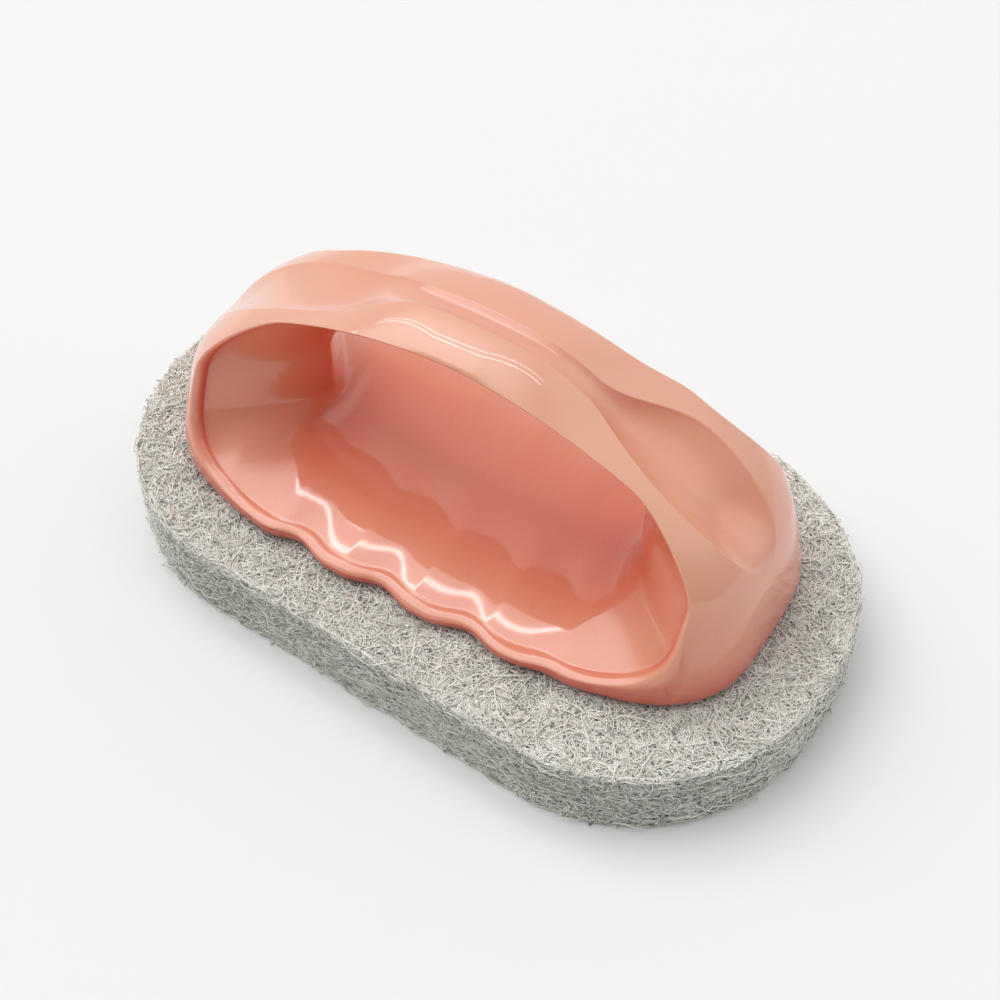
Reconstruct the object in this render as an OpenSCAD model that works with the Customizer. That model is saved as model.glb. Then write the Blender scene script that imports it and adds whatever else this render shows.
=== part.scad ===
// Palm scrubber: a moulded hand grip bonded to a thick non-woven scouring pad.
// Millimetres, +Z up. The origin is the middle of the pad's underside.

/* [Pad] */
// Length of the pad
pad_l = 150; // [140:1:190]
// Width of the pad
pad_w = 85; // [80:1:110]
// Radius of the pad's rounded corners
pad_corner_r = 39; // [20:0.5:42]
// Thickness of the upper ply
upper_ply_t = 8; // [5:0.5:14]
// Thickness of the lower ply
lower_ply_t = 8; // [5:0.5:14]

/* [Bond] */
// Thickness of the glue layer between pad and handle
glue_t = 0.5; // [0.3:0.1:1.5]
// How far the glue stays inside the handle's edge
glue_inset = 3.5; // [2:0.5:8]

/* [Handle place] */
// Turn of the handle on the pad, degrees
handle_turn = 3.2; // [-5:0.1:5]
// Offset of the handle along the pad
handle_x = -0.8; // [-4:0.1:4]
// Offset of the handle across the pad
handle_y = 0.2; // [-4:0.1:4]

/* [Handle outline] */
// Length of the handle over its ends
handle_l = 123.6; // [110:0.5:136]
// Width of the handle over its lips
handle_w = 63; // [56:0.5:70]
// Squareness of the plan outline, 2 is an ellipse
plan_power = 3.05; // [2.2:0.05:4]
// Height of the handle from its underside to the top of the strap
handle_h = 50.2; // [46:0.2:60]
// Height of the upright wall at each end, where the arch springs
spring_h = 4.6; // [2:0.2:10]
// How far the arch is drawn in over its shoulder at the +X end
shoulder_trim_right = 3.5; // [0:0.1:4.5]
// How far it is drawn in over its shoulder at the -X end
shoulder_trim_left = 4.4; // [0:0.1:4.5]
// Angle up from the ends to the middle of the shoulders
shoulder_at = 33; // [28:1:44]
// How far the ends bulge below the shoulders
end_bulge = 2; // [0:0.1:3]
// How far the bottom edge is rolled under
tuck_in = 1.8; // [0.4:0.1:2.2]
// Height over which it is rolled under
tuck_h = 2.2; // [1:0.1:3]

/* [Finger window] */
// Thickness of the floor at the middle
floor_t = 3.7; // [3:0.1:6]
// Depth of the floor below the window's centre
window_down = 18.4; // [15:0.1:20]
// Rise of the window's roof above its centre, in the middle plane
window_up = 18; // [15:0.1:20]
// Length of the window in the middle plane
window_l = 69.4; // [60:0.2:78]
// Depth of the mouth's edge below the window's centre
mouth_down = 17.7; // [15:0.1:18.5]
// Rise of the mouth's edge above the window's centre
mouth_up = 24; // [20:0.1:25]
// Length of the mouth
mouth_l = 98.8; // [90:0.2:104]
// Thickness of the rolled rim round the mouth
rim_t = 3.4; // [2.4:0.1:4.5]
// Rounding of the rim across the width
rim_round = 2.4; // [1.2:0.1:3.2]
// Height of the crest along the floor's middle above the floor beside it
crest_h = 0.6; // [0:0.1:0.8]

/* [Grip strap] */
// Width of the strap at the middle
strap_w = 22.4; // [18:0.2:28]
// Angle up from the ends where the strap has half flared into the feet
flare_at = 3; // [-4:1:12]
// Angle over which the strap flares into the feet
flare_span = 41.8; // [34:0.2:60]

/* [Thumb channel] */
// Width of the groove along the top of the strap
groove_w = 5.2; // [3:0.1:9]
// Depth of that groove
groove_d = 0.7; // [0.3:0.1:1.5]
// Width of the scoop at the +X end
scoop_w_right = 17.2; // [12:0.2:20]
// Width of the scoop at the -X end
scoop_w_left = 13.4; // [10:0.2:20]
// Depth of the scoop
scoop_d = 3.6; // [1:0.1:5]
// Angle up from the ends to the widest part of the scoop
scoop_at = 14; // [8:1:22]
// Angle at which the scoop runs out in its rounded tip
scoop_tip = -2; // [-6:1:4]
// Angle above which only the groove is left, towards the +X end
neck_right = 46; // [34:1:60]
// Angle above which only the groove is left, towards the -X end
neck_left = 42; // [34:1:60]

/* [Finger flutes] */
// Pitch of the flutes in the floor
flute_pitch = 15.2; // [10:0.1:22]
// Depth of a flute
flute_d = 0.4; // [0.2:0.1:1]
// Shift of the ridges between flutes from the middle
flute_shift = 2.9; // [-8:0.1:8]

/* [Lip scallops] */
// Pitch of the notches along the lip
scallop_pitch = 19.1; // [12:0.1:28]
// Depth of a notch
scallop_d = 2; // [0.4:0.1:3]
// Shift of the notches from the middle
scallop_shift = -4.2; // [-10:0.1:10]
// Length of lip that carries notches
scallop_run = 94; // [60:1:104]

/* [Hidden] */

pad_t = lower_ply_t + upper_ply_t;
handle_z = pad_t + glue_t;
half_l = handle_l / 2;
half_w = handle_w / 2;
// the window's centre, which every row of the handle's skin is drawn round
eye_z = floor_t + window_down;
arch_h = handle_h - spring_h;
// turns in degrees
full_turn = 360;
half_turn = full_turn / 2;
quarter_turn = full_turn / 4;
// the row that runs into the corner between end wall and underside
corner_angle = -atan2(eye_z, half_l);

// powers of the rounded D shapes: roof and floor, in the middle plane and at the mouth
window_roof_power = 2.1;
window_floor_power = 8;
mouth_roof_power = 2;
mouth_floor_power = 3.6;
strap_power = 1.8;
// how the wall between middle plane and mouth curves: share that is straight, and power
wall_straight = 0.35;
wall_power = 1.8;
// angles between which the outside turns from plan outline to strap section
blend_from = 14;
blend_to = 80;
// angle over which the lowest rows bend to follow the bottom edge
foot_bend = 20;
// angles that a shoulder, and the bulge below it, reach over
shoulder_span = 15;
end_at = -3;
end_span = 16;
// flutes fade towards the window's end walls and towards the middle plane
flute_fade_h = 6;
flute_fade_y = 0.7;
// share of the window's depth above which the floor turns into end wall
floor_share = 0.62;
// brings the peak of v * (1 - v) ^ 2 to one
hump_gain = 27 / 4;
// notches are sharper than the waves between them, and fade out at the ends
notch_power = 1.5;
notch_fade = 10;
// angles below the horizon between which the notches deepen
notch_from = 25;
notch_to = 37;
ridge_power = 1.15;
// share of a scoop's tip over which it reaches its full depth
tip_share = 0.6;

// how many rows and columns the skin has
arch_rows = 58;
base_rows = 34;
inner_cols = 9;
rim_cols = 4;
wall_cols = 4;
side_cols = 5;
channel_cols = 5;

function smooth(t) = let(u = min(max(t, 0), 1)) u * u * (3 - 2 * u);
function bulge(t, power) = pow(max(0, 1 - pow(abs(t), power)), 1 / power);
function bell(t) = exp(-t * t);
function plan_x(y) = half_l * bulge(y / half_w, plan_power);
function plan_y(x) = half_w * bulge(x / half_l, plan_power);

// distance from the centre to a rounded D, in the direction of angle a
function ring(a, half, up, down, roof_power, floor_power) =
    let(
        v = sin(a) >= 0 ? up : down,
        p = sin(a) >= 0 ? roof_power : floor_power
    )
    pow(pow(abs(cos(a)) / half, p) + pow(abs(sin(a)) / v, p), -1 / p);
function window_ring(a) =
    ring(a, window_l / 2, window_up, window_down, window_roof_power, window_floor_power);
function mouth_ring(a) =
    ring(a, mouth_l / 2, mouth_up, mouth_down, mouth_roof_power, mouth_floor_power);

// distance from the centre to the arch's outside in the middle plane
function arch_ring(a) =
    let(
        d = eye_z - spring_h,
        qa = pow(cos(a) / half_l, 2) + pow(sin(a) / arch_h, 2),
        qb = sin(a) * d / pow(arch_h, 2),
        qc = pow(d / arch_h, 2) - 1,
        r = (-qb + sqrt(qb * qb - qa * qc)) / qa
    )
    (eye_z + r * sin(a) >= spring_h ? r : half_l / max(abs(cos(a)), 0.001))
    + end_bulge * bell((asin(sin(a)) - end_at) / end_span)
    - (cos(a) < 0 ? shoulder_trim_left : shoulder_trim_right)
        * bell((asin(sin(a)) - shoulder_at) / shoulder_span);

// half width of the strap, foot or lip where the row of angle a has its widest point
function row_half(a, up, is_base) =
    let(
        x = (mouth_ring(a) + rim_t / 2) * cos(a),
        notch = is_base || up < 0 ? notch_depth(x) * smooth((-up - notch_from) / (notch_to - notch_from)) : 0,
        outline = plan_y(x) - notch
    )
    strap_w / 2 + (outline - strap_w / 2) * smooth((flare_at - up) / flare_span + 0.5);
function notch_depth(x) =
    scallop_d * pow((1 + cos(full_turn * (x - scallop_shift) / scallop_pitch)) / 2, notch_power)
    * smooth((scallop_run / 2 + notch_fade / 2 - abs(x - scallop_shift)) / notch_fade);

// the channel along the top: narrow in the middle, a rounded scoop at each end
function channel_half(up, is_left) =
    let(
        scoop_w = is_left ? scoop_w_left : scoop_w_right,
        neck_at = is_left ? neck_left : neck_right
    )
    up < scoop_at
    ? scoop_w / 2 * sqrt(max(0, 1 - pow((scoop_at - up) / (scoop_at - scoop_tip), 2)))
    : groove_w / 2 + (scoop_w - groove_w) / 2 * smooth((neck_at - up) / (neck_at - scoop_at));
function channel_depth(up, is_left) =
    let(neck_at = is_left ? neck_left : neck_right)
    groove_d + (scoop_d - groove_d) * smooth((neck_at - up) / (neck_at - scoop_at));
function channel_cut(up, y, is_left) =
    let(w = channel_half(up, is_left))
    w <= 0 ? 0 : channel_depth(up, is_left) * smooth((up - scoop_tip) / (tip_share * (scoop_at - scoop_tip)))
        * pow(max(0, 1 - pow(y / w, 2)), ridge_power);

// columns inside the window, from the middle plane to the mouth's edge
function inner_path(a, half) =
    [for (i = [0 : inner_cols - 1])
        let(
            v = i / (inner_cols - 1),
            share = wall_straight * v + (1 - wall_straight) * pow(v, wall_power),
            r = window_ring(a) + (mouth_ring(a) - window_ring(a)) * share,
            x = r * cos(a),
            z = eye_z + r * sin(a)
        )
        [x, (half - rim_round) * v, z - floor_cut(x, z, v)]];
// how far the floor lies below a level one: it falls away from the crest, and flutes run across it
function floor_cut(x, z, v) =
    let(
        ridges = abs(sin(half_turn * (x - flute_shift) / flute_pitch)),
        fall = crest_h * hump_gain * v * pow(1 - v, 2)
    )
    (flute_d * ridges * smooth(v / flute_fade_y) + fall)
    * smooth((eye_z * floor_share - z) / flute_fade_h);

// columns over the rolled rim, to the row's widest point
function rim_path(a, half, dip) =
    [for (i = [1 : rim_cols])
        let(
            t = quarter_turn * i / rim_cols,
            r = mouth_ring(a) + rim_t / 2 * (1 - cos(t))
        )
        [r * cos(a), half - rim_round * (1 - sin(t)), eye_z + r * sin(a) - dip * (1 - i / rim_cols)]];

// height of a column on the upright wall, closer together towards the bottom edge
function wall_z(rim_z, i) = i < wall_cols ? rim_z * (1 - sin(quarter_turn * i / wall_cols)) : 0;

// columns of the base: down the lip, then in along the flat underside
function base_path(a, half, rim_z) =
    let(
        x = (mouth_ring(a) + rim_t / 2) * cos(a),
        foot_x = (mouth_ring(corner_angle) + rim_t / 2) * cos(corner_angle),
        foot_y = plan_y(foot_x),
        n = side_cols + channel_cols
    )
    concat(
        [for (i = [1 : wall_cols]) [x, half, wall_z(rim_z, i)]],
        [for (i = [1 : n]) let(v = 1 - i / n) [x / foot_x * plan_x(v * foot_y), v * half, 0]]
    );

// columns of the arch: from the rim over the shoulder, across the channel's edge to the middle
function arch_y(up, half, is_left, i) =
    let(
        n = wall_cols + side_cols,
        edge = min(max(channel_half(up, is_left), groove_w / 2), half - 1)
    )
    i <= n ? edge + (half - edge) * cos(quarter_turn * i / n) : edge * (1 - (i - n) / channel_cols);
function arch_path(a, up, half, rim_z) =
    let(
        r_rim = mouth_ring(a) + rim_t / 2,
        r_top = arch_ring(a),
        k = smooth((up - blend_from) / (blend_to - blend_from)),
        b = half_w + (half - half_w) * k,
        p = plan_power + (strap_power - plan_power) * k,
        s_rim = bulge(half / b, p),
        h = smooth((up - corner_angle) / foot_bend),
        n = side_cols + channel_cols,
        is_left = cos(a) < 0
    )
    [for (i = [1 : wall_cols + n])
        let(
            y = arch_y(up, half, is_left, i),
            lift = (bulge(y / b, p) - s_rim) / (1 - s_rim),
            r = r_rim + (r_top - r_rim) * lift - channel_cut(up, y, is_left),
            y_low = i <= wall_cols ? half : half * (1 - (i - wall_cols) / n),
            z_low = i <= wall_cols ? wall_z(rim_z, i) : 0,
            y_mix = y * h + y_low * (1 - h),
            z_mix = (eye_z + r * sin(a)) * h + z_low * (1 - h),
            x_low = sign(cos(a)) * abs(r_top * cos(a)) * bulge(y_mix / half_w, plan_power),
            x_mix = r * cos(a) * h + x_low * (1 - h)
        )
        [x_mix, y_mix, z_mix]];

// the bottom edge rolled under: points low on the handle are drawn in
function tucked(p) =
    let(
        t = min(max(1 - p[2] / tuck_h, 0), 1),
        tuck = tuck_in * (1 - sqrt(1 - t * t))
    )
    [p[0] * (1 - tuck / half_l), p[1] * (1 - tuck / half_w), p[2]];

// one closed row of the skin, round the solid at angle a: the near half, then its mirror image
function skin_row(a, is_base) =
    let(
        up = asin(sin(a)),
        half = row_half(a, up, is_base),
        inner = inner_path(a, half),
        lip = inner[inner_cols - 1],
        dip = floor_cut(lip[0], eye_z + mouth_ring(a) * sin(a), 1),
        rim = rim_path(a, half, dip),
        rim_z = rim[rim_cols - 1][2],
        outer = is_base ? base_path(a, half, rim_z) : arch_path(a, up, half, rim_z),
        near = [for (p = concat(inner, rim, outer)) tucked(p)],
        last = len(near) - 1
    )
    concat(
        [for (p = near) [p[0], -p[1], p[2]]],
        [for (i = [last - 1 : -1 : 1]) near[i]]
    );

function handle_skin() =
    let(
        arch_span = half_turn - 2 * corner_angle,
        base_span = half_turn + 2 * corner_angle
    )
    concat(
        [for (i = [0 : arch_rows - 1])
            skin_row(corner_angle + arch_span * i / arch_rows, false)],
        [for (i = [0 : base_rows - 1])
            skin_row(half_turn - corner_angle + base_span * i / base_rows, true)]
    );

// a closed solid from rows that join end to end both ways, like a ring's surface
module ring_solid(rows) {
    n = len(rows);
    m = len(rows[0]);
    points = [for (row = rows) for (p = row) p];
    faces = [for (i = [0 : n - 1]) for (j = [0 : m - 1])
        let(
            i2 = (i + 1) % n,
            j2 = (j + 1) % m,
            a = i * m + j,
            b = i2 * m + j,
            c = i2 * m + j2,
            d = i * m + j2
        )
        each [[a, b, c], [a, c, d]]];
    polyhedron(points = points, faces = faces);
}

// the pad's outline: a rectangle whose corners are true arcs
module pad_outline() {
    r = min(pad_corner_r, pad_w / 2 - 0.5);
    square([pad_l - 2 * r, pad_w], center = true);
    square([pad_l, pad_w - 2 * r], center = true);
    for (x = [-1, 1]) for (y = [-1, 1])
        translate([x * (pad_l / 2 - r), y * (pad_w / 2 - r)]) circle(r, $fn = 96);
}

module handle_seat() {
    translate([handle_x, handle_y, handle_z]) rotate([0, 0, handle_turn]) children();
}

module pad_lower_ply() {
    color([0.72, 0.72, 0.68]) linear_extrude(lower_ply_t) pad_outline();
}

module pad_upper_ply() {
    color([0.78, 0.78, 0.74]) translate([0, 0, lower_ply_t]) linear_extrude(upper_ply_t) pad_outline();
}

module glue_layer() {
    a = half_l - glue_inset;
    b = half_w - glue_inset;
    steps = 72;
    outline = [for (i = [0 : steps - 1])
        let(
            t = full_turn * i / steps,
            r = pow(pow(abs(cos(t)) / a, plan_power) + pow(abs(sin(t)) / b, plan_power), -1 / plan_power)
        )
        [r * cos(t), r * sin(t)]];
    color([0.93, 0.9, 0.8]) handle_seat()
        translate([0, 0, -glue_t]) linear_extrude(glue_t) polygon(outline);
}

module handle() {
    color([0.87, 0.55, 0.45]) handle_seat() ring_solid(handle_skin());
}

pad_lower_ply();
pad_upper_ply();
glue_layer();
handle();
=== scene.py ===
import math

import bpy
import numpy as np
from mathutils import Matrix, Vector


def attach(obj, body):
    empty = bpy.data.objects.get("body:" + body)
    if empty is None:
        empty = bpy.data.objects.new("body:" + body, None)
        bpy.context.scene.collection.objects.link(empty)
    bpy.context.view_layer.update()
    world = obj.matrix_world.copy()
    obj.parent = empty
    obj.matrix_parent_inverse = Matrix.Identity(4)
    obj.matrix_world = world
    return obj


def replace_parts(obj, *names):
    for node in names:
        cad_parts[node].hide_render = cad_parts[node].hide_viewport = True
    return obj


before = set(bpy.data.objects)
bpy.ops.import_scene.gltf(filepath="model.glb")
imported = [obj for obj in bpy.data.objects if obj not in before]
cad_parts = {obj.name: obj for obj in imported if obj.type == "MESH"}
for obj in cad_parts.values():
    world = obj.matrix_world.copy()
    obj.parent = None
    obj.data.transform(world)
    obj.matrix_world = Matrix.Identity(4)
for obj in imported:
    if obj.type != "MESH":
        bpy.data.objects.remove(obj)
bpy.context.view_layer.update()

MM = 0.001

# The camera: where it stands round the object, and how long its lens is
CAMERA_AZIMUTH = 35.37
CAMERA_ELEVATION = 51.41
CAMERA_DISTANCE = 0.36919
CAMERA_TARGET = (-0.00545, 0.01211, 0.0)
CAMERA_LENS_MM = 64.11

# The pad, in millimetres
PAD_L = 150.0
PAD_W = 85.0
PAD_CORNER_R = 39.0
UPPER_PLY_T = 8.0
LOWER_PLY_T = 8.0
PAD_T = UPPER_PLY_T + LOWER_PLY_T
GLUE_T = 0.5

# The handle, in millimetres and degrees
HANDLE_TURN = 3.2
HANDLE_X = -0.8
HANDLE_Y = 0.2
HANDLE_L = 122.8
HANDLE_W = 63.0
PLAN_POWER = 3.3
HANDLE_H = 50.2
SPRING_H = 4.6
FLOOR_T = 3.7
WINDOW_DOWN = 18.4
WINDOW_UP = 18.0
WINDOW_L = 69.4
MOUTH_DOWN = 18.3
MOUTH_UP = 24.2
MOUTH_L = 104.0
RIM_T = 3.0
RIM_ROUND = 2.4
STRAP_W = 22.4
FLARE_AT = 3.0
FLARE_SPAN = 41.8
GROOVE_W = 4.4
GROOVE_D = 0.7
SCOOP_W_RIGHT = 17.2
SCOOP_W_LEFT = 15.0
SCOOP_D_RIGHT = 4.8
SCOOP_D_LEFT = 1.6
SCOOP_AT = 14.0
SCOOP_TIP = -2.0
NECK_RIGHT = 46.0
NECK_LEFT = 75.0
FLUTE_PITCH = 15.2
FLUTE_D = 0.4
CREST_H = 0.4
ROLL_H = 1.6
ROLL_FROM = 0.55
ROLL_POWER = 1.25
FLUTE_SHIFT = 2.9
SCALLOP_PITCH = 19.1
SCALLOP_D = 2.0
SCALLOP_SHIFT = -4.2
SCALLOP_RUN = 94.0
SHOULDER_TRIM_RIGHT = 3.3
SHOULDER_TRIM_LEFT = 4.0
SHOULDER_AT = 33.0
SHOULDER_SPAN = 18.0
END_BULGE = 2.0
END_AT = -3.0
END_SPAN = 16.0
TUCK_IN = 1.8
TUCK_H = 2.2
WINDOW_ROOF_POWER = 2.1
WINDOW_FLOOR_POWER = 8.0
MOUTH_ROOF_POWER = 1.7
MOUTH_FLOOR_POWER = 4.8
STRAP_POWER = 1.7
CHANNEL_MARGIN = 1.0
WALL_STRAIGHT = 0.35
WALL_POWER = 1.8
BLEND_FROM = 14.0
BLEND_TO = 80.0
FOOT_BEND = 20.0
FLUTE_FADE_H = 6.0
FLUTE_FADE_Y = 0.7
FLOOR_SHARE = 0.62
NOTCH_POWER = 1.5
NOTCH_FADE = 10.0
NOTCH_FROM = 25.0
NOTCH_TO = 37.0
TIP_SHARE = 0.6
RIDGE_POWER = 0.95
# How much narrower or wider the arch is on its +Y side than on its -Y side, as shares, at each shoulder
FAR_TRIM_LEFT = 0.18
FAR_TRIM_AT = 6.0
FAR_TRIM_SPAN = 11.0
FAR_SPREAD_RIGHT = 0.19
FAR_SPREAD_AT = 24.0
FAR_SPREAD_SPAN = 10.0

HALF_L = HANDLE_L / 2
HALF_W = HANDLE_W / 2
EYE_Z = FLOOR_T + WINDOW_DOWN
CORNER_ANGLE = -math.degrees(math.atan2(EYE_Z, HALF_L))

# How fine the handle's visible skin is
ARCH_ROWS = 250
BASE_ROWS = 150
INNER_COLS = 40
RIM_COLS = 14
WALL_COLS = 10
SIDE_COLS = 30
CHANNEL_COLS = 24


def smooth(t):
    u = np.clip(t, 0, 1)
    return u * u * (3 - 2 * u)


def bulge(t, power):
    return np.maximum(0, 1 - np.abs(t) ** power) ** (1 / power)


def plan_x(y):
    return HALF_L * bulge(y / HALF_W, PLAN_POWER)


def plan_y(x):
    return HALF_W * bulge(x / HALF_L, PLAN_POWER)


def ring(angle, half, up, down, roof_power, floor_power):
    """Distance from the window's centre to a rounded D in the direction of angle."""
    sine = np.sin(np.radians(angle))
    cosine = np.abs(np.cos(np.radians(angle)))
    reach = np.where(sine >= 0, up, down)
    power = np.where(sine >= 0, roof_power, floor_power)
    return ((cosine / half) ** power + (np.abs(sine) / reach) ** power) ** (-1 / power)


def window_ring(angle):
    return ring(angle, WINDOW_L / 2, WINDOW_UP, WINDOW_DOWN, WINDOW_ROOF_POWER, WINDOW_FLOOR_POWER)


def mouth_ring(angle):
    return ring(angle, MOUTH_L / 2, MOUTH_UP, MOUTH_DOWN, MOUTH_ROOF_POWER, MOUTH_FLOOR_POWER)


def arch_ring(angle):
    """Distance from the window's centre to the arch's outside in the middle plane."""
    cosine = np.cos(np.radians(angle))
    sine = np.sin(np.radians(angle))
    arch_h = HANDLE_H - SPRING_H
    drop = EYE_Z - SPRING_H
    a = (cosine / HALF_L) ** 2 + (sine / arch_h) ** 2
    b = sine * drop / arch_h**2
    c = (drop / arch_h) ** 2 - 1
    r = (-b + np.sqrt(b * b - a * c)) / a
    r = np.where(EYE_Z + r * sine >= SPRING_H, r, HALF_L / np.maximum(np.abs(cosine), 0.001))
    up = np.degrees(np.arcsin(sine))
    bulged = END_BULGE * np.exp(-(((up - END_AT) / END_SPAN) ** 2))
    trim = np.where(cosine < 0, SHOULDER_TRIM_LEFT, SHOULDER_TRIM_RIGHT)
    trimmed = trim * np.exp(-(((up - SHOULDER_AT) / SHOULDER_SPAN) ** 2))
    return r + bulged - trimmed


def notch_depth(x):
    wave = (1 + np.cos(2 * np.pi * (x - SCALLOP_SHIFT) / SCALLOP_PITCH)) / 2
    run = SCALLOP_RUN / 2 + NOTCH_FADE / 2 - np.abs(x - SCALLOP_SHIFT)
    return SCALLOP_D * wave**NOTCH_POWER * smooth(run / NOTCH_FADE)


def row_half(angle, up, is_base):
    """Half width of the strap, foot or lip at the widest point of each row."""
    x = (mouth_ring(angle) + RIM_T / 2) * np.cos(np.radians(angle))
    deepen = smooth((-up - NOTCH_FROM) / (NOTCH_TO - NOTCH_FROM))
    notch = np.where(is_base | (up < 0), notch_depth(x) * deepen, 0)
    outline = plan_y(x) - notch
    return STRAP_W / 2 + (outline - STRAP_W / 2) * smooth((FLARE_AT - up) / FLARE_SPAN + 0.5)


def channel_half(up, is_left):
    scoop_w = np.where(is_left, SCOOP_W_LEFT, SCOOP_W_RIGHT)
    neck_at = np.where(is_left, NECK_LEFT, NECK_RIGHT)
    tip = np.sqrt(np.maximum(0, 1 - ((SCOOP_AT - up) / (SCOOP_AT - SCOOP_TIP)) ** 2))
    neck = smooth((neck_at - up) / (neck_at - SCOOP_AT))
    return np.where(up < SCOOP_AT, scoop_w / 2 * tip, GROOVE_W / 2 + (scoop_w - GROOVE_W) / 2 * neck)


def channel_cut(up, y, is_left):
    half = channel_half(up, is_left)
    neck_at = np.where(is_left, NECK_LEFT, NECK_RIGHT)
    scoop_d = np.where(is_left, SCOOP_D_LEFT, SCOOP_D_RIGHT)
    depth = GROOVE_D + (scoop_d - GROOVE_D) * smooth((neck_at - up) / (neck_at - SCOOP_AT))
    depth = depth * smooth((up - SCOOP_TIP) / (TIP_SHARE * (SCOOP_AT - SCOOP_TIP)))
    across = np.maximum(0, 1 - (y / np.maximum(half, 1e-6)) ** 2) ** RIDGE_POWER
    return np.where(half > 0, depth * across, 0)


def floor_cut(x, z, v):
    """How far the floor lies below the lip's level: less at the crest, more in the flutes."""
    ridges = np.abs(np.sin(np.pi * (x - FLUTE_SHIFT) / FLUTE_PITCH))
    roll = np.maximum(0, (v - ROLL_FROM) / (1 - ROLL_FROM)) ** ROLL_POWER
    fall = CREST_H * (v - 1) + ROLL_H * (roll - 1)
    flutes = FLUTE_D * ridges * smooth(v / FLUTE_FADE_Y)
    return (flutes + fall) * smooth((EYE_Z * FLOOR_SHARE - z) / FLUTE_FADE_H)


def handle_rows():
    """The skin's points, row by row round the window and column by column round each section."""
    arch = CORNER_ANGLE + (180 - 2 * CORNER_ANGLE) * np.arange(ARCH_ROWS) / ARCH_ROWS
    base = 180 - CORNER_ANGLE + (180 + 2 * CORNER_ANGLE) * np.arange(BASE_ROWS) / BASE_ROWS
    angle = np.concatenate([arch, base])[:, None]
    is_base = (np.arange(ARCH_ROWS + BASE_ROWS) >= ARCH_ROWS)[:, None]
    sine = np.sin(np.radians(angle))
    cosine = np.cos(np.radians(angle))
    up = np.degrees(np.arcsin(sine))
    half = row_half(angle, up, is_base)

    # inside the window, from the middle plane to the mouth's edge
    v = np.linspace(0, 1, INNER_COLS)[None]
    share = WALL_STRAIGHT * v + (1 - WALL_STRAIGHT) * v**WALL_POWER
    r = window_ring(angle) + (mouth_ring(angle) - window_ring(angle)) * share
    x = r * cosine
    z = EYE_Z + r * sine
    inner = np.stack([x, (half - RIM_ROUND) * v, z - floor_cut(x, z, v)], -1)
    dip = floor_cut(inner[:, -1:, 0], EYE_Z + mouth_ring(angle) * sine, 1.0)

    # over the rolled rim, to the row's widest point
    i = np.arange(1, RIM_COLS + 1)[None]
    t = np.pi / 2 * i / RIM_COLS
    r = mouth_ring(angle) + RIM_T / 2 * (1 - np.cos(t))
    y = half - RIM_ROUND * (1 - np.sin(t))
    rim = np.stack([r * cosine, y, EYE_Z + r * sine - dip * (1 - i / RIM_COLS)], -1)
    rim_z = rim[:, -1:, 2]

    # down the wall and in along the flat underside, as the base rows run
    n = SIDE_COLS + CHANNEL_COLS
    i = np.arange(1, WALL_COLS + n + 1)[None]
    rim_x = (mouth_ring(angle) + RIM_T / 2) * cosine
    foot_x = (mouth_ring(CORNER_ANGLE) + RIM_T / 2) * math.cos(math.radians(CORNER_ANGLE))
    inward = np.minimum(1 - (i - WALL_COLS) / n, 1)
    on_wall = i <= WALL_COLS
    low_y = np.where(on_wall, half, half * inward)
    low_z = np.where(on_wall, rim_z * (1 - np.sin(np.pi / 2 * np.minimum(i / WALL_COLS, 1))), 0)
    low_x = np.where(on_wall, rim_x, rim_x / foot_x * plan_x(inward * plan_y(foot_x)))
    base_outer = np.stack([low_x, low_y, low_z], -1)

    # over the shoulder to the channel's edge and on to the middle plane, as the arch rows run
    m = WALL_COLS + SIDE_COLS
    is_left = cosine < 0
    edge = np.maximum(channel_half(up, is_left), GROOVE_W / 2)
    edge = np.minimum(edge, half - CHANNEL_MARGIN)
    over = edge + (half - edge) * np.cos(np.pi / 2 * i / m)
    y = np.where(i <= m, over, edge * (1 - (i - m) / CHANNEL_COLS))
    r_rim = mouth_ring(angle) + RIM_T / 2
    r_top = arch_ring(angle)
    k = smooth((up - BLEND_FROM) / (BLEND_TO - BLEND_FROM))
    b = HALF_W + (half - HALF_W) * k
    power = PLAN_POWER + (STRAP_POWER - PLAN_POWER) * k
    at_rim = bulge(half / b, power)
    lift = (bulge(y / b, power) - at_rim) / (1 - at_rim)
    r = r_rim + (r_top - r_rim) * lift - channel_cut(up, y, is_left)
    h = smooth((up - CORNER_ANGLE) / FOOT_BEND)
    y_mix = y * h + low_y * (1 - h)
    z_mix = (EYE_Z + r * sine) * h + low_z * (1 - h)
    x_low = np.sign(cosine) * np.abs(r_top * cosine) * bulge(y_mix / HALF_W, PLAN_POWER)
    x_mix = r * cosine * h + x_low * (1 - h)
    arch_outer = np.stack([x_mix, y_mix, z_mix], -1)

    outer = np.where(is_base[..., None], base_outer, arch_outer)
    half_row = tucked(np.concatenate([inner, rim, outer], 1))
    # the +Y half is the -Y half mirrored, a little narrower or wider at the shoulders
    trim = FAR_TRIM_LEFT * np.exp(-(((up - FAR_TRIM_AT) / FAR_TRIM_SPAN) ** 2))
    spread = FAR_SPREAD_RIGHT * np.exp(-(((up - FAR_SPREAD_AT) / FAR_SPREAD_SPAN) ** 2))
    far = half_row[:, 1:-1][:, ::-1].copy()
    far[..., 1] *= 1 + np.where(is_base, 0, np.where(is_left, -trim, spread))
    return np.concatenate([half_row * [1, -1, 1], far], 1)


def tucked(points):
    """The bottom edge rolled under: points low on the handle are drawn in."""
    t = np.clip(1 - points[..., 2] / TUCK_H, 0, 1)
    tuck = TUCK_IN * (1 - np.sqrt(1 - t * t))
    return points * np.stack([1 - tuck / HALF_L, 1 - tuck / HALF_W, np.ones_like(tuck)], -1)


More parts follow.
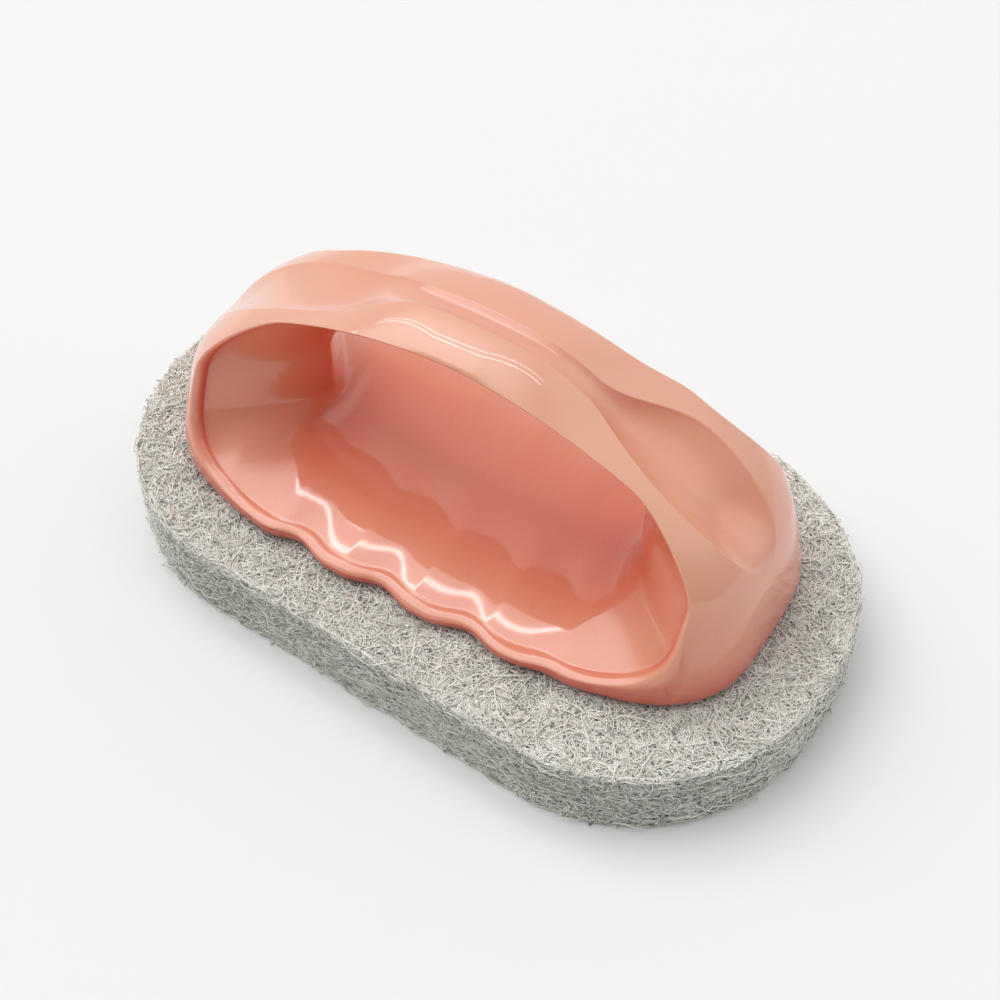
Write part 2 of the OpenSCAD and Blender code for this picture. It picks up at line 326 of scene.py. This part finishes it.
def seat_on_pad(points):
    """Handle millimetres to the object's metres."""
    turn = math.radians(HANDLE_TURN)
    x = points[..., 0] * math.cos(turn) - points[..., 1] * math.sin(turn) + HANDLE_X
    y = points[..., 0] * math.sin(turn) + points[..., 1] * math.cos(turn) + HANDLE_Y
    z = points[..., 2] + PAD_T + GLUE_T
    return np.stack([x, y, z], -1) * MM


def mesh_object(name, points, faces):
    """A mesh object from an array of points and an array of quads or triangles."""
    mesh = bpy.data.meshes.new(name)
    corners = faces.shape[1]
    mesh.vertices.add(len(points))
    mesh.vertices.foreach_set("co", np.ascontiguousarray(points, np.float32).ravel())
    mesh.loops.add(len(faces) * corners)
    mesh.loops.foreach_set("vertex_index", np.ascontiguousarray(faces, np.int32).ravel())
    mesh.polygons.add(len(faces))
    mesh.polygons.foreach_set("loop_start", np.arange(len(faces), dtype=np.int32) * corners)
    mesh.polygons.foreach_set("use_smooth", np.ones(len(faces), bool))
    mesh.update(calc_edges=True)
    mesh.validate()
    obj = bpy.data.objects.new(name, mesh)
    bpy.context.scene.collection.objects.link(obj)
    return obj


def ring_faces(rows, cols):
    """Quads of a surface whose rows and columns both join end to end."""
    i, j = np.meshgrid(np.arange(rows), np.arange(cols), indexing="ij")
    i2 = (i + 1) % rows
    j2 = (j + 1) % cols
    quads = np.stack([i * cols + j, i2 * cols + j, i2 * cols + j2, i * cols + j2], -1)
    return quads.reshape(-1, 4)


# Materials

# How far the painted shade on the plastic looks for open space, in metres: across the window, and in
# small hollows
WINDOW_SHADE_REACH = 0.09
HOLLOW_SHADE_REACH = 0.01
HOLLOW_SHADE_SHARE = 0.7
OPENNESS_SAMPLES = 6
# How far the colour drifts with the flow of the melt
FLOW = 0.05


def new_material(name):
    material = bpy.data.materials.new(name)
    material.use_nodes = True
    tree = material.node_tree
    tree.nodes.clear()
    output = tree.nodes.new("ShaderNodeOutputMaterial")
    shader = tree.nodes.new("ShaderNodeBsdfPrincipled")
    tree.links.new(shader.outputs["BSDF"], output.inputs["Surface"])
    return material, tree, shader


def noise(tree, scale, detail=3.0, roughness=0.5):
    node = tree.nodes.new("ShaderNodeTexNoise")
    node.inputs["Scale"].default_value = scale
    node.inputs["Detail"].default_value = detail
    node.inputs["Roughness"].default_value = roughness
    place = tree.nodes.new("ShaderNodeTexCoord").outputs["Object"]
    tree.links.new(place, node.inputs["Vector"])
    return node.outputs["Fac"]


def ramp(tree, value, stops):
    node = tree.nodes.new("ShaderNodeValToRGB")
    while len(node.color_ramp.elements) < len(stops):
        node.color_ramp.elements.new(0.5)
    for element, (place, colour) in zip(node.color_ramp.elements, stops):
        element.position = place
        element.color = (*colour, 1.0)
    tree.links.new(value, node.inputs["Fac"])
    return node.outputs["Color"]


def bump(tree, height, strength, distance):
    node = tree.nodes.new("ShaderNodeBump")
    node.inputs["Strength"].default_value = strength
    node.inputs["Distance"].default_value = distance
    tree.links.new(height, node.inputs["Height"])
    return node.outputs["Normal"]


def remap(tree, value, low, high):
    node = tree.nodes.new("ShaderNodeMapRange")
    node.inputs["To Min"].default_value = low
    node.inputs["To Max"].default_value = high
    tree.links.new(value, node.inputs["Value"])
    return node.outputs["Result"]


def openness(tree, reach):
    """How much open space lies round each point, within reach: 1 in the open, 0 shut in."""
    node = tree.nodes.new("ShaderNodeAmbientOcclusion")
    node.inputs["Distance"].default_value = reach
    node.samples = OPENNESS_SAMPLES
    return node.outputs["AO"]


def math_node(tree, operation, *values):
    """A sum or product worked out by one node; a value is a number or another node's output."""
    node = tree.nodes.new("ShaderNodeMath")
    node.operation = operation
    for socket, value in zip(node.inputs, values):
        if isinstance(value, float):
            socket.default_value = value
        else:
            tree.links.new(value, socket)
    return node.outputs[0]


def handle_plastic():
    """Glossy salmon plastic, a little translucent, with painted shade and light: its colour is darker and
    redder where it is enclosed and paler in the open.
    """
    material, tree, shader = new_material("salmon_plastic")
    window_shade = openness(tree, WINDOW_SHADE_REACH)
    hollow_shade = remap(tree, openness(tree, HOLLOW_SHADE_REACH), -1.0, 0.0)
    flow = remap(tree, noise(tree, 38, detail=2, roughness=0.4), -FLOW, FLOW)
    # painted shade and light: ambient occlusion darkens and reddens the colour in hollows and under the
    # strap, and pales it in the open
    depth = math_node(tree, "ADD", math_node(tree, "MULTIPLY_ADD", hollow_shade, HOLLOW_SHADE_SHARE, window_shade), flow)
    stops = [
        (0.20, (0.62, 0.05, 0.02)),
        (0.55, (0.79, 0.145, 0.072)),
        (0.76, (0.85, 0.285, 0.167)),
        (0.96, (0.84, 0.405, 0.267)),
    ]
    tree.links.new(ramp(tree, depth, stops), shader.inputs["Base Color"])
    wear = noise(tree, 900, detail=4, roughness=0.6)
    tree.links.new(remap(tree, wear, 0.32, 0.44), shader.inputs["Roughness"])
    peel = bump(tree, noise(tree, 160, detail=1), 0.03, 0.0003)
    tree.links.new(peel, shader.inputs["Normal"])
    tree.links.new(peel, shader.inputs["Coat Normal"])
    tree.links.new(remap(tree, wear, 0.03, 0.07), shader.inputs["Coat Roughness"])
    shader.inputs["Coat Weight"].default_value = 1.0
    shader.inputs["Coat IOR"].default_value = 1.6
    shader.inputs["Specular IOR Level"].default_value = 0.35
    shader.inputs["Subsurface Weight"].default_value = 0.2
    shader.inputs["Subsurface Radius"].default_value = (1.0, 0.35, 0.2)
    shader.inputs["Subsurface Scale"].default_value = 0.004
    return material


def fibre_material(name, dark, light):
    """Resin-coated fibre: its colour drifts from strand to strand and along each strand."""
    material, tree, shader = new_material(name)
    drift = noise(tree, 220, detail=4, roughness=0.65)
    tree.links.new(ramp(tree, drift, [(0.3, dark), (0.68, light)]), shader.inputs["Base Color"])
    grit = noise(tree, 5200, detail=2)
    tree.links.new(bump(tree, grit, 0.4, 0.0001), shader.inputs["Normal"])
    tree.links.new(remap(tree, grit, 0.45, 0.7), shader.inputs["Roughness"])
    return material


def core_material(name, dark, light):
    """The web's dense inside, with painted shade: darker patches in its colour stand for the shade in the
    gaps between the strands.
    """
    material, tree, shader = new_material(name)
    pore_shade = noise(tree, 1400, detail=5, roughness=0.7)
    tree.links.new(ramp(tree, pore_shade, [(0.38, dark), (0.62, light)]), shader.inputs["Base Color"])
    tree.links.new(bump(tree, pore_shade, 0.9, 0.0008), shader.inputs["Normal"])
    shader.inputs["Roughness"].default_value = 0.85
    return material


def glue_material():
    """Cloudy hot-melt adhesive."""
    material, tree, shader = new_material("hot_melt")
    cloud = noise(tree, 160, detail=3)
    colour = ramp(tree, cloud, [(0.3, (0.66, 0.6, 0.46)), (0.7, (0.8, 0.75, 0.6))])
    tree.links.new(colour, shader.inputs["Base Color"])
    tree.links.new(bump(tree, cloud, 0.3, 0.0004), shader.inputs["Normal"])
    shader.inputs["Roughness"].default_value = 0.35
    return material


# The handle


def make_handle():
    rows = handle_rows()
    count, cols = rows.shape[:2]
    points = seat_on_pad(rows).reshape(-1, 3)
    handle = mesh_object("handle_moulding", points, ring_faces(count, cols)[:, ::-1])
    handle.data.materials.append(handle_plastic())
    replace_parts(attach(handle, "root"), "handle")


# The pad

# How far the dense core lies under the pad's surface, how thick the shell of strands is, and the strands:
# radius, range of thickness as shares of it, points along, sides round, range of length, number
CORE_INSET = 1.0
SHELL = 2.2
STRAND_RADIUS = 0.135
STRAND_THICKNESS = (0.7, 1.3)
STRAND_POINTS = 15
STRAND_SIDES = 3
STRAND_LENGTH = (7.0, 17.0)
STRANDS_PER_PIECE = 2300
# A fixed direction, which each tube's section is turned by
TUBE_ASIDE = (0.36, 0.48, 0.8)
# The core's skin: steps along a quarter of its outline, rings across a face and down the side, its lumps
CORE_STEPS = 60
CORE_FACE_RINGS = 26
CORE_SIDE_RINGS = 8
CORE_MIDDLE = 0.03
CORE_LUMPS = 0.2
CORE_SEED = 7
# How a strand's end narrows, and how its heading swings on the pad's side
STRAND_TIP = 0.35
SIDE_SWING = 0.5
# How far a strand's start keeps from the outline, and how far strands reach in under the handle
START_MARGIN = 0.3
UNDER_HANDLE = 5.0
# Strands crowd toward a face by this power
CROWDING = 1.3
# The crinkles of a strand along, across and upward: range of reach, and range of turns in its length
CRINKLES_ALONG = [((0.8, 2.4), (1.4, 3.2))]
CRINKLES_ACROSS = [((1.0, 3.0), (1.0, 2.6)), ((0.3, 1.0), (2.4, 4.2))]
CRINKLES_UP = [((0.3, 1.1), (0.8, 2.4)), ((0.2, 0.5), (2.5, 4.5))]
# Fuzz left standing out of the pad, how the rest of a path is folded back at its edge and faces, and how
# many radii the lowest paths keep above a ply's underside
FUZZ = 0.22
FUZZ_BELOW = 0.16
EDGE_FOLD = 0.55
EDGE_FOLD_REACH = 1.6
FACE_FOLD = 0.5
FACE_FOLD_REACH = 1.2
SEAT_CLEARANCE = 1.3


def outline_distance(x, y):
    """Signed distance to the pad's outline, negative inside, and the direction straight out."""
    qx = np.abs(x) - (PAD_L / 2 - PAD_CORNER_R)
    qy = np.abs(y) - (PAD_W / 2 - PAD_CORNER_R)
    ox = np.maximum(qx, 0)
    oy = np.maximum(qy, 0)
    length = np.hypot(ox, oy)
    distance = length + np.minimum(np.maximum(qx, qy), 0) - PAD_CORNER_R
    straight_x = (qx > qy) & (length < 1e-6)
    nx = np.where(length > 1e-6, ox / np.maximum(length, 1e-6), straight_x) * np.sign(x)
    ny = np.where(length > 1e-6, oy / np.maximum(length, 1e-6), ~straight_x) * np.sign(y)
    return distance, nx, ny


def outline_quarter(share):
    """A place on the outline's first quarter, from share 0 to 1, and the direction straight out."""
    a = PAD_L / 2 - PAD_CORNER_R
    b = PAD_W / 2 - PAD_CORNER_R
    arc = PAD_CORNER_R * np.pi / 2
    s = share * (a + arc + b)
    turn = np.clip((s - a) / PAD_CORNER_R, 0, np.pi / 2)
    nx = np.sin(turn)
    ny = np.cos(turn)
    x = np.minimum(s, a) + PAD_CORNER_R * nx
    y = b - np.clip(s - a - arc, 0, b) + PAD_CORNER_R * ny
    return x, y, nx, ny


def outline_points(random, count):
    """Random places on the pad's outline with the direction straight out."""
    side_x = np.sign(random.uniform(-1, 1, count))
    side_y = np.sign(random.uniform(-1, 1, count))
    x, y, nx, ny = outline_quarter(random.uniform(0, 1, count))
    return x * side_x, y * side_y, nx * side_x, ny * side_y


def under_handle(x, y, inset):
    turn = math.radians(HANDLE_TURN)
    dx = x - HANDLE_X
    dy = y - HANDLE_Y
    hx = dx * math.cos(turn) + dy * math.sin(turn)
    hy = dy * math.cos(turn) - dx * math.sin(turn)
    across = np.abs(hx) / (HALF_L - inset)
    along = np.abs(hy) / (HALF_W - inset)
    return across**PLAN_POWER + along**PLAN_POWER < 1


def shell_starts(random, count, low, high, face):
    """Places and headings of strands near the pad's side, its top face or its underside."""
    if face == "side":
        x, y, nx, ny = outline_points(random, count)
        inward = random.uniform(0, SHELL, count)
        z = random.uniform(low, high, count)
        swing = random.normal(0, SIDE_SWING, (count, 1))
        heading = np.stack([-ny, nx, swing[:, 0] * random.normal(0, 1, count)], 1)
        heading /= np.linalg.norm(heading, axis=1, keepdims=True)
        return np.stack([x - nx * inward, y - ny * inward, z], 1), heading
    x = random.uniform(-PAD_L / 2, PAD_L / 2, count * 4)
    y = random.uniform(-PAD_W / 2, PAD_W / 2, count * 4)
    keep = outline_distance(x, y)[0] < -START_MARGIN
    if face == "top":
        keep &= ~under_handle(x, y, UNDER_HANDLE)
    x = x[keep][:count]
    y = y[keep][:count]
    depth = SHELL * random.uniform(0, 1, len(x)) ** CROWDING
    z = high - depth if face == "top" else low + depth
    turn = random.uniform(0, 2 * np.pi, len(x))
    return np.stack([x, y, z], 1), np.stack([np.cos(turn), np.sin(turn), 0 * turn], 1)


def strand_paths(random, starts, heading, low, high):
    """Crinkled paths that start at starts and drift along heading, kept inside the ply."""
    count = len(starts)
    length = random.uniform(*STRAND_LENGTH, (count, 1, 1))
    t = np.linspace(-0.5, 0.5, STRAND_POINTS)[None, :, None]
    side = np.stack([-heading[:, 1], heading[:, 0], np.zeros(count)], 1)[:, None]
    rise = np.array([0.0, 0.0, 1.0])[None, None]

    def wave(reach, turns):
        phase = random.uniform(0, 2 * np.pi, (count, 1, 1))
        amount = random.uniform(*reach, (count, 1, 1))
        return amount * np.sin(2 * np.pi * random.uniform(*turns, (count, 1, 1)) * t + phase)

    along = sum(wave(*crinkle) for crinkle in CRINKLES_ALONG)
    across = sum(wave(*crinkle) for crinkle in CRINKLES_ACROSS)
    upward = sum(wave(*crinkle) for crinkle in CRINKLES_UP)
    path = starts[:, None] + heading[:, None] * (t * length + along)
    path = path + side * across + rise * upward
    return keep_inside(random, path, low, high)


def keep_inside(random, path, low, high):
    """Folds a path back at the ply's faces and at the pad's edge, with a little fuzz left out."""
    count = len(path)
    fuzz = random.exponential(FUZZ, (count, 1)) - FUZZ_BELOW
    x, y, z = path[..., 0], path[..., 1], path[..., 2]
    distance, nx, ny = outline_distance(x, y)
    over = np.maximum(distance - fuzz, 0)
    pull = over + np.minimum(over, EDGE_FOLD_REACH) * EDGE_FOLD
    x = x - nx * pull
    y = y - ny * pull
    top = high + fuzz * (high == PAD_T)
    bottom = low + STRAND_RADIUS * SEAT_CLEARANCE
    z = np.where(z > top, top - FACE_FOLD * np.minimum(z - top, FACE_FOLD_REACH), z)
    z = np.where(z < bottom, bottom + FACE_FOLD * np.minimum(bottom - z, FACE_FOLD_REACH), z)
    return np.stack([x, y, z], -1)


def tubes(paths, radius):
    """Points and triangles of a thin closed tube along each path."""
    count, steps = paths.shape[:2]
    ahead = np.gradient(paths, axis=1)
    ahead /= np.maximum(np.linalg.norm(ahead, axis=-1, keepdims=True), 1e-9)
    u = np.cross(ahead, np.array(TUBE_ASIDE))
    u /= np.maximum(np.linalg.norm(u, axis=-1, keepdims=True), 1e-9)
    w = np.cross(ahead, u)
    turn = (2 * np.pi * np.arange(STRAND_SIDES) / STRAND_SIDES)[None, None, :, None]
    taper = np.ones(steps)
    taper[[0, -1]] = STRAND_TIP
    size = radius[:, None, None, None] * taper[None, :, None, None]
    circle = u[:, :, None] * np.cos(turn) + w[:, :, None] * np.sin(turn)
    points = paths[:, :, None] + circle * size
    k, i, j = np.meshgrid(
        np.arange(count), np.arange(steps - 1), np.arange(STRAND_SIDES), indexing="ij"
    )
    near = (k * steps + i) * STRAND_SIDES
    far = near + STRAND_SIDES
    j2 = (j + 1) % STRAND_SIDES
    sides = [
        np.stack([near + j, near + j2, far + j2], -1).reshape(-1, 3),
        np.stack([near + j, far + j2, far + j], -1).reshape(-1, 3),
    ]
    first = (np.arange(count) * steps * STRAND_SIDES)[:, None]
    last = first + (steps - 1) * STRAND_SIDES
    ends = [first + np.array([[0, 2, 1]]), last + np.array([[0, 1, 2]])]
    return points.reshape(-1, 3), np.concatenate(sides + ends)


def make_web(name, node, low, high, shares, seed, material):
    """One piece of a ply's web, with strands shared out over the ply's faces."""
    random = np.random.default_rng(seed)
    paths = []
    for face, count in shares:
        starts, heading = shell_starts(random, count, low, high, face)
        paths.append(strand_paths(random, starts, heading, low, high))
    paths = np.concatenate(paths)
    radius = STRAND_RADIUS * random.uniform(*STRAND_THICKNESS, len(paths))
    points, faces = tubes(paths, radius)
    web = mesh_object(name, points * MM, faces)
    web.data.materials.append(material)
    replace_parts(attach(web, "root"), node)


def make_core(name, node, low, high, material):
    """The dense inside of one ply, a closed body with a lumpy skin."""
    share = (np.arange(CORE_STEPS) + 0.5) / CORE_STEPS
    x, y, nx, ny = outline_quarter(share)
    x = x - nx * CORE_INSET
    y = y - ny * CORE_INSET
    loop_x = np.concatenate([x, x[::-1], -x, -x[::-1]])
    loop_y = np.concatenate([y, -y[::-1], -y, y[::-1]])
    edge = np.stack([loop_x, loop_y], 1)
    around = len(edge)
    face = np.linspace(CORE_MIDDLE, 1 - CORE_MIDDLE, CORE_FACE_RINGS)
    drop = np.linspace(high, low, CORE_SIDE_RINGS)
    shrink = np.concatenate([face, np.ones(CORE_SIDE_RINGS), face[::-1]])
    height = np.concatenate([np.full(CORE_FACE_RINGS, high), drop, np.full(CORE_FACE_RINGS, low)])
    rows = edge[None] * shrink[:, None, None]
    grid = np.concatenate([rows, np.broadcast_to(height[:, None, None], rows.shape[:2] + (1,))], 2)
    grid = grid + np.random.default_rng(CORE_SEED).normal(0, CORE_LUMPS, grid.shape)
    points = np.concatenate([grid.reshape(-1, 3), [[0, 0, high], [0, 0, low]]])
    i, j = np.meshgrid(np.arange(len(rows) - 1), np.arange(around), indexing="ij")
    j2 = (j + 1) % around
    near = i * around
    far = near + around
    step = np.arange(around)
    step2 = (step + 1) % around
    middle = np.full(around, len(points) - 2)
    bottom = (len(rows) - 1) * around
    faces = np.concatenate([
        np.stack([near + j2, near + j, far + j], -1).reshape(-1, 3),
        np.stack([near + j2, far + j, far + j2], -1).reshape(-1, 3),
        np.stack([middle, step, step2], -1),
        np.stack([middle + 1, bottom + step2, bottom + step], -1),
    ])
    core = mesh_object(name, points * MM, faces)
    core.data.materials.append(material)
    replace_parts(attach(core, "root"), node)


def make_pad():
    pale = fibre_material("pad_strands", (0.90, 0.895, 0.81), (0.99, 0.985, 0.92))
    # the core's colour carries painted shade: darker patches for the gaps between the strands
    pore_shade = core_material("pad_core", (0.58, 0.58, 0.52), (0.97, 0.965, 0.89))
    plies = [
        ("upper", "pad_upper_ply", "pad_fibre_upper", LOWER_PLY_T, PAD_T, "top", 6, 3),
        ("lower", "pad_lower_ply", "pad_fibre_lower", 0.0, LOWER_PLY_T, "underside", 4, 5),
    ]
    for ply, node, slot, low, high, face, pieces, side_tenths in plies:
        core_low = low + (CORE_INSET if face == "underside" else 0.0)
        core_high = high - (CORE_INSET if face == "top" else 0.0)
        make_core(f"pad_{ply}_core", node, core_low, core_high, pore_shade)
        side_count = STRANDS_PER_PIECE * side_tenths // 10
        shares = [(face, STRANDS_PER_PIECE - side_count), ("side", side_count)]
        for part in range(pieces):
            make_web(f"pad_{ply}_web_{part + 1}", node, low, high, shares, 10 * pieces + part, pale)


# The stage

FLOOR_SIZE = 3.0
FLOOR_SHADE = 0.9
# The room's light, in the photo's view: overhead on the left, on the right, and all of the room.
# Each has a direction, the cosines to it where the light starts to rise and is full, and the
# brightness outside and within
KEY_LIGHT = ((-0.45, -0.12, 0.88), 0.80, 0.97, 0.0, 2.05)
SIDE_LIGHT = ((0.56, 0.43, 0.70), 0.84, 0.98, 0.0, 0.55)
ROOM_LIGHT = ((-0.5, 0.75, 0.2), -0.9, 0.9, 0.28, 0.67)
# The strip lamps: name, place, depth and power
STRIPS = [
    ("strip_1", (-0.44, 0.26, 1.03), 0.010, 0.45),
    ("strip_2", (-0.44, 0.19, 1.04), 0.014, 0.6),
]
STRIP_LENGTH = 1.4
STRIP_TARGET = (0.0, 0.0, 0.03)


def make_floor():
    material, tree, shader = new_material("studio_floor")
    shader.inputs["Base Color"].default_value = (FLOOR_SHADE, FLOOR_SHADE, FLOOR_SHADE, 1.0)
    shader.inputs["Roughness"].default_value = 0.9
    shader.inputs["Specular IOR Level"].default_value = 0.1
    corners = [[-1, -1, 0], [1, -1, 0], [1, 1, 0], [-1, 1, 0]]
    points = np.array(corners) * FLOOR_SIZE
    floor = mesh_object("floor", points, np.array([[0, 1, 2, 3]]))
    floor.data.materials.append(material)


def strip_light(name, place, depth, power):
    """A long narrow lamp at place that faces the handle, its length as near to X as can be."""
    data = bpy.data.lights.new(name, "AREA")
    data.shape = "RECTANGLE"
    data.size = STRIP_LENGTH
    data.size_y = depth
    data.energy = power
    light = bpy.data.objects.new(name, data)
    back = (Vector(place) - Vector(STRIP_TARGET)).normalized()
    along = Vector((1.0, 0.0, 0.0))
    along = (along - back * along.dot(back)).normalized()
    turn = Matrix((along, back.cross(along), back)).transposed().to_4x4()
    light.matrix_world = Matrix.Translation(place) @ turn
    bpy.context.scene.collection.objects.link(light)


def make_world():
    """A pale room, bright overhead on the left and dimmest toward the camera."""
    world = bpy.data.worlds.new("studio")
    world.use_nodes = True
    tree = world.node_tree
    background = tree.nodes["Background"]
    background.inputs["Color"].default_value = (1.0, 1.0, 1.0, 1.0)
    direction = tree.nodes.new("ShaderNodeTexCoord").outputs["Generated"]

    def lobe(toward, start, end, dim, bright):
        along = tree.nodes.new("ShaderNodeVectorMath")
        along.operation = "DOT_PRODUCT"
        along.inputs[1].default_value = Vector(toward).normalized()
        tree.links.new(direction, along.inputs[0])
        span = tree.nodes.new("ShaderNodeMapRange")
        span.interpolation_type = "SMOOTHSTEP"
        for name, value in zip(("From Min", "From Max", "To Min", "To Max"), (start, end, dim, bright)):
            span.inputs[name].default_value = value
        tree.links.new(along.outputs["Value"], span.inputs["Value"])
        return span.outputs["Result"]

    lamps = math_node(tree, "ADD", lobe(*KEY_LIGHT), lobe(*SIDE_LIGHT))
    total = math_node(tree, "ADD", lamps, lobe(*ROOM_LIGHT))
    tree.links.new(total, background.inputs["Strength"])
    bpy.context.scene.world = world


def make_camera():
    azimuth = math.radians(CAMERA_AZIMUTH)
    elevation = math.radians(CAMERA_ELEVATION)
    back = Vector((
        math.sin(azimuth) * math.cos(elevation),
        -math.cos(azimuth) * math.cos(elevation),
        math.sin(elevation),
    ))
    data = bpy.data.cameras.new("photo_view")
    data.lens = CAMERA_LENS_MM
    data.sensor_width = 36.0
    data.clip_start = 0.01
    camera = bpy.data.objects.new("photo_view", data)
    camera.matrix_world = (
        Matrix.Translation(Vector(CAMERA_TARGET) + back * CAMERA_DISTANCE)
        @ back.to_track_quat("Z", "Y").to_matrix().to_4x4()
    )
    bpy.context.scene.collection.objects.link(camera)
    bpy.context.scene.camera = camera


make_camera()
make_handle()
make_pad()
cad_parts["glue_layer"].data.materials.clear()
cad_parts["glue_layer"].data.materials.append(glue_material())
make_floor()
make_world()
for strip in STRIPS:
    strip_light(*strip)

bpy.context.scene.view_settings.view_transform = "Standard"
